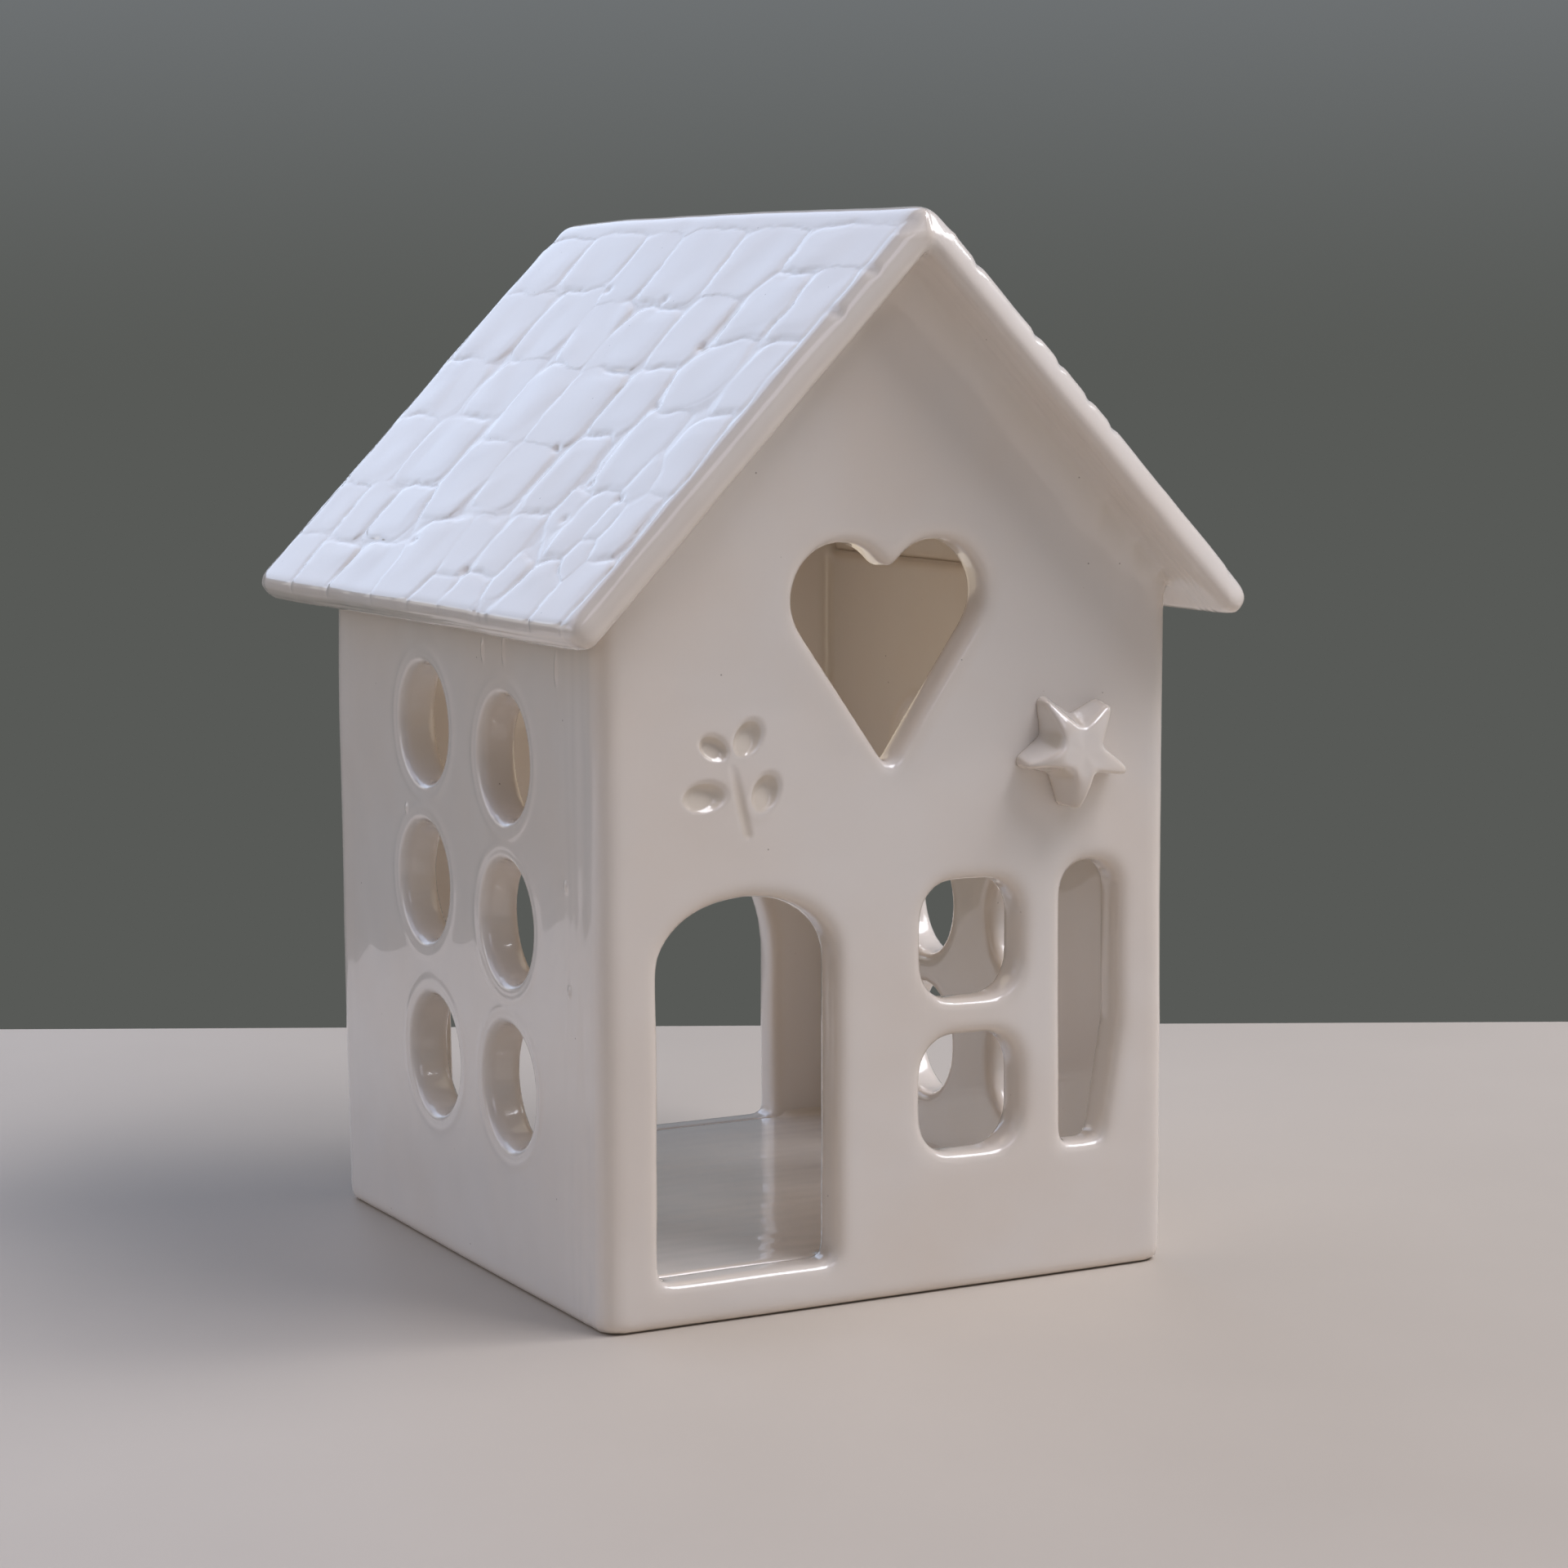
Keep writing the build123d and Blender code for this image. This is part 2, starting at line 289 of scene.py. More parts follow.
# The verges lean back towards their upper edges, and all are drawn in. The ridge rises, less at both ends.
LEFT_LEAN = 0.3 * MM
RIGHT_LEAN = 1.0 * MM
LEAN_HEIGHT = 4 * MM
VERGE_DRAWN = 0.4 * MM
VERGE_ROOT = 4 * MM
RIDGE_RISE = 0.56 * MM
FRONT_SAG = 0.64 * MM
BACK_SAG = 0.7 * MM

# The camera at the photograph's viewing angle, in metres
CAMERA_PLACE = (-0.2299, -0.4481, 0.1221)
CAMERA_TURN = radians(-27.888)
CAMERA_TILT = radians(6.961)
CAMERA_ROLL = radians(-0.2785)
SENSOR_WIDTH = 36

# The board: its sizes, and how far it goes on behind the middle of the house
BOARD_WIDTH = 1.2
BOARD_DEPTH = 0.75
BOARD_THICKNESS = 18 * MM
BOARD_BEHIND = 0.15
BOARD_EDGE = 2 * MM

# Softboxes: name, turn from +X and rise in degrees, width and height in metres, power setting and colour
SOFTBOXES = (
    ("key softbox", -38, 58, 0.75, 0.42, "key_power", "F7F6FF"),
    ("side softbox", -14, 38, 0.42, 0.42, "side_power", "F8FAFF"),
    ("front softbox", -100, 38, 0.42, 0.42, "front_power", "F0EEFF"),
    ("back softbox", 96, 33, 0.8, 0.8, "back_power", "D2E2FF"),
    ("left softbox", 152, 30, 0.8, 0.8, "left_power", "DFE4FF"),
    ("low softbox", 152, 11, 1.6, 0.3, "low_power", "FFFAF6"),
)
LIGHT_AIM = Vector((0, 0, 70 * MM))
CHAMBER_MIDDLE = Vector((0, 0, 75 * MM))
CHAMBER_COLOUR = "FFF0D6"


def hex_colour(text):
    """Linear colour from an sRGB hex value."""
    shares = [int(text[i:i + 2], 16) / 255 for i in (0, 2, 4)]
    return [s / 12.92 if s <= 0.04045 else ((s + 0.055) / 1.055) ** 2.4 for s in shares]


def add_node(tree, kind, values=None, links=None, **settings):
    """Add a node with its settings, input values and incoming links."""
    made = tree.nodes.new(kind)
    for name, value in settings.items():
        setattr(made, name, value)
    for name, value in (values or {}).items():
        made.inputs[name].default_value = value
    for name, source in (links or {}).items():
        tree.links.new(source, made.inputs[name])
    return made


def smoothstep(low, high, value):
    """0 below low, 1 above high, smooth between, for numbers and arrays."""
    t = np.clip((value - low) / (high - low), 0, 1)
    return t * t * (3 - 2 * t)


def noise_over(first, second, first_length, second_length, layer):
    """Noise from about -1 to 1 over two coordinates, with its length along each, in a layer of its own."""
    spots = zip((first / first_length).tolist(), (second / second_length).tolist())
    return np.array([noise.noise((a, b, layer)) for a, b in spots])


class HouseClay(bpy.types.PropertyGroup):
    """Sizes of the soft clay."""

    slab_quads: bpy.props.FloatProperty(
        name="Slab quads", description="Size of the even quads of a slab", default=0.54 * MM, unit="LENGTH")
    star_quads: bpy.props.FloatProperty(
        name="Star quads", description="Size of the even quads of the star", default=0.25 * MM, unit="LENGTH")
    rounding: bpy.props.IntProperty(
        name="Rounding", description="Rounds of smoothing that soften the cut edges", default=3, min=0)
    roof_rounding: bpy.props.IntProperty(
        name="Roof rounding", description="More rounds over the roof", default=4, min=0)
    corner_rounding: bpy.props.IntProperty(
        name="Corner rounding", description="More rounds at the walls' upright corners", default=8, min=0)
    cove_rounding: bpy.props.IntProperty(
        name="Cove rounding", description="Rounds of smoothing that run the gables into the roof",
        default=110, min=0)
    eave_rounding: bpy.props.IntProperty(
        name="Eave rounding", description="Rounds of smoothing over the right eave's end", default=10, min=0)
    verge_rounding: bpy.props.IntProperty(
        name="Verge rounding", description="Rounds of smoothing over the verges", default=9, min=0)
    rim_rounding: bpy.props.IntProperty(
        name="Rim rounding", description="Rounds of smoothing over the rims of the gables' openings",
        default=6, min=0)
    ridge_rounding: bpy.props.IntProperty(
        name="Ridge rounding", description="Rounds of smoothing along the ridge", default=40, min=0)
    star_rounding: bpy.props.IntProperty(
        name="Star rounding", description="Rounds of smoothing before the star is pinched", default=4, min=0)
    loose_rounding: bpy.props.IntProperty(
        name="Loose rounding", description="Rounds of smoothing over floor and coils", default=2, min=0)
    hole_rim: bpy.props.FloatProperty(
        name="Hole rim", description="Height of the rim that the cutter raised round a hole",
        default=0.13 * MM, unit="LENGTH")
    sway: bpy.props.FloatProperty(
        name="Sway", description="How far a slab strays from flat", default=0.3 * MM, unit="LENGTH")
    sway_length: bpy.props.FloatProperty(
        name="Sway length", description="Distance over which a slab strays", default=34 * MM, unit="LENGTH")
    ripple: bpy.props.FloatProperty(
        name="Ripple", description="Height of the small unevenness left by fingers", default=0.05 * MM,
        unit="LENGTH")
    ripple_length: bpy.props.FloatProperty(
        name="Ripple length", description="Length of the small unevenness", default=7 * MM, unit="LENGTH")
    joint_depth: bpy.props.FloatProperty(
        name="Joint depth", description="Depth of the joints between the roof's stones", default=0.2 * MM,
        unit="LENGTH")
    joint_shoulder: bpy.props.FloatProperty(
        name="Joint shoulder", description="Width of a stone's rounded edge", default=0.7 * MM, unit="LENGTH")


class HouseGlaze(bpy.types.PropertyGroup):
    """Colours of the glaze."""

    cream: bpy.props.FloatVectorProperty(
        name="Cream", description="Glaze over flat clay", subtype="COLOR", size=3,
        default=hex_colour("EEE6DE"))
    ivory: bpy.props.FloatVectorProperty(
        name="Ivory", description="Warmer clouds in the glaze", subtype="COLOR", size=3,
        default=hex_colour("EDE2D7"))
    thin: bpy.props.FloatVectorProperty(
        name="Thin glaze", description="Clay showing through on edges", subtype="COLOR", size=3,
        default=hex_colour("E9DBCC"))
    # Darker glaze pooled in hollows, also used as painted shade in coves, joints and dents
    pooled_and_shade: bpy.props.FloatVectorProperty(
        name="Pooled glaze", description="Thick glaze in hollows", subtype="COLOR", size=3,
        default=hex_colour("DCCDB8"))
    bare: bpy.props.FloatVectorProperty(
        name="Bare clay", description="Unglazed clay under the foot", subtype="COLOR", size=3,
        default=hex_colour("D8CBBB"))
    speck: bpy.props.FloatVectorProperty(
        name="Speck", description="Iron specks in the clay", subtype="COLOR", size=3,
        default=hex_colour("8A7A6A"))


class HouseStage(bpy.types.PropertyGroup):
    """Floor, light and camera."""

    floor: bpy.props.FloatVectorProperty(
        name="Floor", description="Colour of the floor", subtype="COLOR", size=3,
        default=hex_colour("C9BEB1"))
    backdrop: bpy.props.FloatVectorProperty(
        name="Backdrop", description="Room behind the house", subtype="COLOR", size=3,
        default=hex_colour("585A57"))
    haze: bpy.props.FloatVectorProperty(
        name="Haze", description="Light from low all round", subtype="COLOR", size=3,
        default=hex_colour("7D8185"))
    zenith: bpy.props.FloatVectorProperty(
        name="Zenith", description="Light from above", subtype="COLOR", size=3, default=hex_colour("444A54"))
    key_power: bpy.props.FloatProperty(
        name="Key light", description="Power of the high softbox on the right", default=7.5, unit="POWER")
    side_power: bpy.props.FloatProperty(
        name="Side light", description="Power of the softbox beside the right wall", default=2.4,
        unit="POWER")
    front_power: bpy.props.FloatProperty(
        name="Front light", description="Power of the softbox in front", default=0.75, unit="POWER")
    back_power: bpy.props.FloatProperty(
        name="Back light", description="Power of the softbox behind", default=2.6, unit="POWER")
    left_power: bpy.props.FloatProperty(
        name="Left light", description="Power of the softbox behind the left wall", default=2.1, unit="POWER")
    low_power: bpy.props.FloatProperty(
        name="Low light", description="Power of the low strip on the left", default=0.95, unit="POWER")
    chamber_power: bpy.props.FloatProperty(
        name="Chamber light", description="Power of the small fill inside the chamber", default=0.0052,
        unit="POWER")
    lens: bpy.props.FloatProperty(
        name="Lens", description="Focal length of the camera", default=86.88, unit="CAMERA")


def joined_clay(nodes, quad):
    """Copies of CAD nodes run together and remade from even quads, so that no seam shows between them."""
    shell = bmesh.new()
    for node in nodes:
        shell.from_mesh(frame["nodes"][node].data)
    bmesh.ops.remove_doubles(shell, verts=shell.verts, dist=WELD)
    mesh = bpy.data.meshes.new("rough_" + nodes[0])
    shell.to_mesh(mesh)
    shell.free()
    rough = bpy.data.objects.new(mesh.name, mesh)
    bpy.context.scene.collection.objects.link(rough)
    even = rough.modifiers.new("Even quads", "REMESH")
    even.mode = "VOXEL"
    even.voxel_size = quad
    remade = bpy.data.meshes.new_from_object(rough.evaluated_get(bpy.context.evaluated_depsgraph_get()))
    bpy.data.objects.remove(rough)
    bpy.data.meshes.remove(mesh)
    clay = bmesh.new()
    clay.from_mesh(remade)
    bpy.data.meshes.remove(remade)
    return clay


def places_of(clay):
    """Places of a mesh's vertices, as rows of x, y and z."""
    return np.array([v.co[:] for v in clay.verts])


def soften(clay, rounds, where=None):
    """Round the edges, all over or only where a test of x, y and z says so."""
    verts = clay.verts[:]
    if where:
        verts = [v for v, chosen in zip(verts, where(*places_of(clay).T)) if chosen]
    for _ in range(rounds):
        bmesh.ops.smooth_vert(
            clay, verts=verts, factor=0.5, use_axis_x=True, use_axis_y=True, use_axis_z=True)


def refine(clay, fine):
    """Halve the quads whose corners are all marked as fine."""
    for v, chosen in zip(clay.verts, fine.tolist()):
        v.tag = chosen
    whole = [face for face in clay.faces if all(v.tag for v in face.verts)]
    # Each edge once, in the mesh's own order, so that every run gives the same mesh
    edges = list(dict.fromkeys(e for face in whole for e in face.edges))
    bmesh.ops.subdivide_edges(clay, edges=edges, cuts=1, use_grid_fill=True)


def sway(clay, sizes):
    """Move the clay a little, by a move that depends on the place alone, and keep the foot level."""
    far, length, ripple, ripple_length = sizes.sway, sizes.sway_length, sizes.ripple, sizes.ripple_length
    for v in clay.verts:
        move = noise.noise_vector(v.co / length) * far + noise.noise_vector(v.co / ripple_length) * ripple
        move.z *= min(max(v.co.z / FOOT_FADE, 0), 1)
        v.co += move
        v.co.z = max(v.co.z, 0)


def cut_off(clay, place, normal):
    """A copy of the clay on the side of a plane that its normal points to, closed where it was cut."""
    part = clay.copy()
    cut = bmesh.ops.bisect_plane(
        part, geom=part.verts[:] + part.edges[:] + part.faces[:], dist=WELD, plane_co=place, plane_no=normal,
        clear_inner=True)
    rim = [e for e in cut["geom_cut"] if isinstance(e, bmesh.types.BMEdge)]
    cap = bmesh.ops.triangle_fill(part, edges=rim, normal=-Vector(normal))
    for face in cap["geom"]:
        if isinstance(face, bmesh.types.BMFace):
            face.smooth = False
    return part


def glaze_clay(clay):
    """The clay with its normals and glaze thickness stored on it, so that no line shows where it is cut.

    The thickness comes from the curvature: under 0 on sharp edges, over 0 in hollows, where the pooled tint
    that it drives is partly painted shade. The sprig's pooled glaze and painted shade are added to it.
    """
    mesh = bpy.data.meshes.new("clay")
    clay.to_mesh(mesh)
    clay.free()
    mesh.shade_smooth()
    count = len(mesh.vertices)
    places = np.empty(count * 3)
    mesh.vertices.foreach_get("co", places)
    normals = np.empty(count * 3, np.float32)
    mesh.vertex_normals.foreach_get("vector", normals)
    mesh.attributes.new("carried_normal", "FLOAT_VECTOR", "POINT").data.foreach_set("vector", normals)
    ends = np.empty(len(mesh.edges) * 2, int)
    mesh.edges.foreach_get("vertices", ends)
    places, normals, ends = places.reshape(-1, 3), normals.reshape(-1, 3), ends.reshape(-1, 2)
    both = np.concatenate((ends, ends[:, ::-1]))
    degree = np.maximum(np.bincount(both[:, 0], minlength=count), 1)

    def around(values):
        return np.bincount(both[:, 0], weights=values[both[:, 1]], minlength=count) / degree

    reach = np.linalg.norm(places[ends[:, 0]] - places[ends[:, 1]], axis=1).mean()
    pull = np.stack([around(places[:, axis]) for axis in range(3)], 1) - places
    # Curvature per mm, evened out over a few quads
    bend = 4 * (pull * normals).sum(1) / reach ** 2 * MM
    for _ in range(6):
        bend = 0.5 * bend + 0.5 * around(bend)
    # The sprig's dents add their pooled glaze and painted shade
    if "pool" in mesh.attributes:
        pool = np.empty(count, np.float32)
        mesh.attributes["pool"].data.foreach_get("value", pool)
        bend += pool
        mesh.attributes.remove(mesh.attributes["pool"])
    thickness_and_shade = mesh.attributes.new("glaze_thickness", "FLOAT", "POINT")
    thickness_and_shade.data.foreach_set("value", bend.astype(np.float32))
    glazed = bmesh.new()
    glazed.from_mesh(mesh)
    bpy.data.meshes.remove(mesh)
    return glazed


def set_normals(mesh):
    """Give the smooth faces their carried normals and the cut faces their own."""
    carried = np.empty(len(mesh.vertices) * 3, np.float32)
    mesh.attributes["carried_normal"].data.foreach_get("vector", carried)
    corner_vertices = np.empty(len(mesh.loops), np.int32)
    mesh.loops.foreach_get("vertex_index", corner_vertices)
    corners = carried.reshape(-1, 3)[corner_vertices]
    for face in mesh.polygons:
        if not face.use_smooth:
            corners[face.loop_start:face.loop_start + face.loop_total] = face.normal
    mesh.normals_split_custom_set(corners.tolist())
    mesh.attributes.remove(mesh.attributes["carried_normal"])


def finish_piece(clay, node):
    """Turn the glazed clay into an object that stands for its CAD node."""
    name = "glazed_" + node
    mesh = bpy.data.meshes.new(name)
    clay.to_mesh(mesh)
    clay.free()
    set_normals(mesh)
    piece = bpy.data.objects.new(name, mesh)
    bpy.context.scene.collection.objects.link(piece)
    mesh.materials.append(bpy.data.materials["cream glaze"])
    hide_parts(node)
    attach(piece, BODY)


class HOUSE_OT_glaze(bpy.types.Operator):
    """Make the cream glaze"""

    bl_idname = "house.glaze"
    bl_label = "Glaze"

    def execute(self, context):
        colours = context.scene.house_glaze
        # Glossy cream glaze over pale earthenware, dipped and fired: a smooth glassy skin with soft clouds,
        # warmer where it runs thin on edges, warmer and darker where it pools in hollows, a tint that also
        # paints the shade in coves, joints and dents, with iron specks and bare clay underfoot
        glaze = bpy.data.materials.new("cream glaze")
        glaze.use_nodes = True
        tree = glaze.node_tree
        tree.nodes.clear()
        place = add_node(tree, "ShaderNodeTexCoord").outputs["Object"]
        clouds = add_node(
            tree, "ShaderNodeTexNoise", {"Scale": 1 / (24 * MM), "Detail": 3.0},
            {"Vector": place}).outputs["Fac"]
        share = add_node(
            tree, "ShaderNodeMapRange", {"From Min": 0.38, "From Max": 0.66},
            {"Value": clouds}).outputs["Result"]
        colour = add_node(
            tree, "ShaderNodeMix", {"A": (*colours.cream, 1), "B": (*colours.ivory, 1)}, {"Factor": share},
            data_type="RGBA").outputs["Result"]
        # How thin or thick the glaze lies, from the curvature; in hollows it also carries painted shade
        thickness_and_shade = add_node(
            tree, "ShaderNodeAttribute", attribute_name="glaze_thickness").outputs["Fac"]
        # Iron specks, 0.2 mm across
        specks = add_node(
            tree, "ShaderNodeTexVoronoi", {"Scale": 1 / (4.5 * MM)}, {"Vector": place}).outputs["Distance"]
        height = add_node(tree, "ShaderNodeSeparateXYZ", links={"Vector": place}).outputs["Z"]
        # Each tint covers what is below it. The pooled tint darkens hollows, as thick glaze and as painted
        # shade.
        # The last is bare clay, where the foot was wiped before firing.
        for tint, source, limits in (
                (colours.thin, thickness_and_shade, {"From Min": -0.10, "From Max": -0.8, "To Max": 0.75}),
                (colours.pooled_and_shade, thickness_and_shade, {"From Min": 0.10, "From Max": 0.9, "To Max": 0.6}),
                (colours.speck, specks, {"From Min": 0.032, "From Max": 0.016, "To Max": 0.7}),
                (colours.bare, height, {"From Min": 0.5 * MM, "From Max": 0.25 * MM})):
            share = add_node(tree, "ShaderNodeMapRange", limits, {"Value": source}).outputs["Result"]
            colour = add_node(
                tree, "ShaderNodeMix", {"B": (*tint, 1)}, {"Factor": share, "A": colour},
                data_type="RGBA").outputs["Result"]
        gloss = add_node(
            tree, "ShaderNodeMapRange", {"To Min": 0.16, "To Max": 0.28}, {"Value": clouds}).outputs["Result"]
        rough = add_node(
            tree, "ShaderNodeMix", {"B": 0.8}, {"Factor": share, "A": gloss}, data_type="FLOAT")
        # Fired glaze is never quite flat: slow waves over 9 mm and a fine peel over 1.6 mm
        waves = add_node(
            tree, "ShaderNodeTexNoise", {"Scale": 1 / (9 * MM), "Detail": 1.0}, {"Vector": place})
        peel = add_node(
            tree, "ShaderNodeTexNoise", {"Scale": 1 / (1.6 * MM), "Detail": 2.0}, {"Vector": place})
        wave_bump = add_node(
            tree, "ShaderNodeBump", {"Strength": 1.0, "Distance": 0.12 * MM},
            {"Height": waves.outputs["Fac"]})
        peel_bump = add_node(
            tree, "ShaderNodeBump", {"Strength": 1.0, "Distance": 0.008 * MM},
            {"Height": peel.outputs["Fac"], "Normal": wave_bump.outputs["Normal"]})
        shader = add_node(
            tree, "ShaderNodeBsdfPrincipled",
            {"IOR": 1.5, "Coat Weight": 1.0, "Coat Roughness": 0.03, "Coat IOR": 1.5},
            {"Base Color": colour, "Roughness": rough.outputs["Result"],
             "Normal": peel_bump.outputs["Normal"]})
        add_node(tree, "ShaderNodeOutputMaterial", links={"Surface": shader.outputs["BSDF"]})
        return {"FINISHED"}


def roof_clearance(x, z):
    """Distance of a place from the underside of the roof, over 0 below it."""
    return (GABLE_TOP - abs(x) * tan(PITCH) - z) * cos(PITCH)


def in_sprig(x, y, z):
    """Whether places are on the leaf sprig pressed into the front."""
    return (y < FRONT_FACE + SPRIG_SKIN) & (np.hypot(x - SPRIG_X, z - SPRIG_Z) < SPRIG_REACH)


def in_cove(x, y, z, end):
    """Whether places are in the corner of a gable and the roof's underside, but not near the eave's end."""
    near = abs(x) < HALF_WIDTH - end
    for gap in (abs(y) + FRONT_FACE, roof_clearance(x, z)):
        near &= (gap > COVE_START) & (gap < COVE_REACH)
    return near


def on_verge(x, y, z):
    """Whether places are on a verge, over the whole thickness of the slab."""
    return (abs(y) > VERGE - VERGE_WIDTH) & (roof_clearance(x, z) < VERGE_BELOW)


def on_right_eave(x, y, z):
    """Whether places are on the end of the right eave."""
    return x > RIGHT_EAVE - EAVE_WIDTH


def at_corner(x, y, z):
    """Whether places are at an upright outer corner of the walls."""
    near = (abs(x) > HALF_WIDTH - CORNER_WIDTH) & (abs(y) > -FRONT_FACE - CORNER_WIDTH)
    return near & (roof_clearance(x, z) > CORNER_BELOW)


def by_front_or_back(x, y, z):
    """Whether places are on a gable's outer side, off its edges, where only the openings' rims change."""
    near = (abs(y) > -FRONT_FACE - GABLE_SKIN) & (abs(x) < HALF_WIDTH - GABLE_EDGE)
    return near & (z > GABLE_FOOT) & (roof_clearance(x, z) > GABLE_BELOW)


def on_roof(x, y, z):
    """Whether places are on the roof, above its underside, but not at the crisp end of the left eave."""
    return (roof_clearance(x, z) < ROOF_BELOW) & (x > LEFT_EAVE + CRISP_EAVE_WIDTH)


def on_ridge(x, y, z):
    """Whether places are on top of the ridge."""
    return (abs(x) < RIDGE_HALF_WIDTH) & (z > GABLE_TOP + RIDGE_FOOT)


def off_foot(x, y, z):
    """Whether places are clear of the foot."""
    return z > FOOT


def off_wall(x, y, z):
    """Whether places on the star are clear of the root that is luted to the wall."""
    return y < STAR_BACK - STAR_ROOT


def round_edges(clay, sizes):
    """Round the cut edges, more where fingers ran over them, such as corners, coves and the ridge."""
    soften(clay, sizes.rounding)
    soften(clay, sizes.roof_rounding, on_roof)
    soften(clay, sizes.corner_rounding, at_corner)
    soften(clay, sizes.rim_rounding, by_front_or_back)
    # The cove fades out towards the corners of the walls
    for end in COVE_ENDS:
        soften(clay, sizes.cove_rounding // len(COVE_ENDS), partial(in_cove, end=end))
    soften(clay, sizes.verge_rounding, on_verge)
    soften(clay, sizes.eave_rounding, on_right_eave)
    soften(clay, sizes.ridge_rounding, on_ridge)


def press_sprig(clay):
    """Press the leaves and their stem into the front, deepest at the leaves' upper edges, and store their
    pooled glaze and painted shade.
    """
    layer = clay.verts.layers.float.new("pool")
    x, y, z = places_of(clay).T
    zone = in_sprig(x, y, z)
    verts = [v for v, chosen in zip(clay.verts, zone) if chosen]
    across = (x[zone] - SPRIG_X) / SPRIG_SIZE
    up = (z[zone] - SPRIG_Z) / SPRIG_SIZE
    # The stem deepens from its top to its foot
    line = STEM_FOOT - STEM_TOP
    share = np.clip(((across - STEM_TOP.x) * line.x + (up - STEM_TOP.y) * line.y) / line.length_squared, 0, 1)
    beside = np.hypot(across - STEM_TOP.x - share * line.x, up - STEM_TOP.y - share * line.y)
    dent = STEM_DEPTH * (1 - smoothstep(0.0, STEM_HALF_WIDTH, beside)) * smoothstep(0.0, 0.5, share)
    # Glaze pooled along the stem, darker there also as painted shade
    pool = 0.6 * (1 - smoothstep(0.03, 0.08, beside)) * smoothstep(0.1, 0.6, share)
    for middle_x, middle_z, half_length, half_width, turn in LEAVES:
        c, s = cos(radians(turn)), sin(radians(turn))
        right, above = across - middle_x, up - middle_z
        reach = np.hypot((right * c + above * s) / half_length, (above * c - right * s) / half_width)
        # The stamp went in aslant: a long slope on the upper right, a crisp edge on the lower left
        lean = np.clip(0.5 + 0.4 * (above + 0.45 * right) / half_width, 0, 1)
        soft = smoothstep(0.8 - 0.6 * lean, 1.0 + 0.35 * lean, reach)
        dent = np.maximum(dent, LEAF_DEPTH * (1 - soft) * (LEAF_SHALLOW + (1 - LEAF_SHALLOW) * lean))
        # Glaze pools all over the leaf, and its darker tint there is also painted shade in the dent
        pool = np.maximum(pool, 1 - smoothstep(0.85, 1.1, reach))
        # The clay that was pushed aside stands up in a low lip below each leaf
        dent -= LIP_HEIGHT * np.exp(-((reach - 1.3) / 0.2) ** 2) * (1 - lean) ** 2
    for v, depth, share in zip(verts, dent.tolist(), pool.tolist()):
        v.co.y = FRONT_FACE + depth
        v[layer] = share


def past_rim(hole, y, z):
    """How far places are outside the rim of a round hole, in mm."""
    middle, radius = hole
    return (np.hypot(y - middle.y, z - middle.z) - radius) / MM


def by_hole(y, z):
    """Whether places are on the rings round a hole."""
    near = np.zeros(len(y), bool)
    for hole in HOLES:
        past = past_rim(hole, y, z)
        near |= (past > RINGS_FROM) & (past < RINGS_TO)
    return near


def ring(past, place, width, share):
    """Height of a raised ring round a hole, as a share of its rim's height."""
    return share * np.exp(-((past - place) / width) ** 2)


def mark_side_walls(clay, sizes):
    """Leave the marks of luting and of the hole cutter on the outside of the side walls."""
    x, y, z = places_of(clay).T
    outside = (abs(x) > HALF_WIDTH - WALL_SKIN) & (roof_clearance(x, z) > 2 * MM)
    verts = [v for v, chosen in zip(clay.verts, outside) if chosen]
    x, y, z = x[outside], y[outside], z[outside]
    # The luted corner leaves a faint furrow, and smoothing it leaves upright drag lines beside it
    astray = noise_over(0 * y, z, MM, 11 * MM, 3.5)
    seam = (y + INNER_HALF_DEPTH) / MM + SEAM_STRAY * astray
    lines = noise_over(y, z, 1.5 * MM, 26 * MM, 0)
    move = LINES_HEIGHT * np.exp(-(seam / LINES_WIDTH) ** 2) * lines
    move -= SEAM_DEPTH * np.exp(-(seam / SEAM_WIDTH) ** 2) * np.clip(0.5 + 2 * astray, 0, 1)
    # The hole cutter raised an even rim, and an uneven ring outside it
    uneven = 1 + 0.5 * noise_over(y, z, 5 * MM, 5 * MM, 1.5)
    for hole in HOLES:
        past = past_rim(hole, y, z)
        rings = ring(past, *CUT_RING) + uneven * ring(past, *OUTER_RING)
        move += (hole[0].x * x > 0) * sizes.hole_rim * rings
    for run_y, run_z, half_width, half_height in RUNS:
        share = np.hypot((y - run_y * MM) / (half_width * MM), (z - run_z * MM) / (half_height * MM))
        move += (x < 0) * RUN_HEIGHT * np.exp(-share ** 4)
    for v, push in zip(verts, (np.sign(x) * move).tolist()):
        v.co.x += push


def fine_zones(clay):
    """Which vertices of the shell have marks on them that need finer quads."""
    x, y, z = places_of(clay).T
    fine = in_sprig(x, y, z) | (by_hole(y, z) & (abs(x) > HALF_WIDTH - WALL_SKIN))
    for run_y, run_z, *_ in RUNS:
        near = (abs(y - run_y * MM) < RUN_ZONE[0]) & (abs(z - run_z * MM) < RUN_ZONE[1])
        fine |= (x < -HALF_WIDTH + WALL_SKIN) & near
    for side in (-1, 1):
        top, along, down, out = roof_top(clay, side)
        fine[top] |= (abs(stone_fields(along, down)[0]) < JOINT_ZONE) & (out > JOINT_FOOT)
        if side < 0:
            fine[top] |= down > down.max() - EAVE_ZONE
        else:
            fine[top] |= (along < SOFFIT_ZONE) & (out < SOFFIT)
    return fine


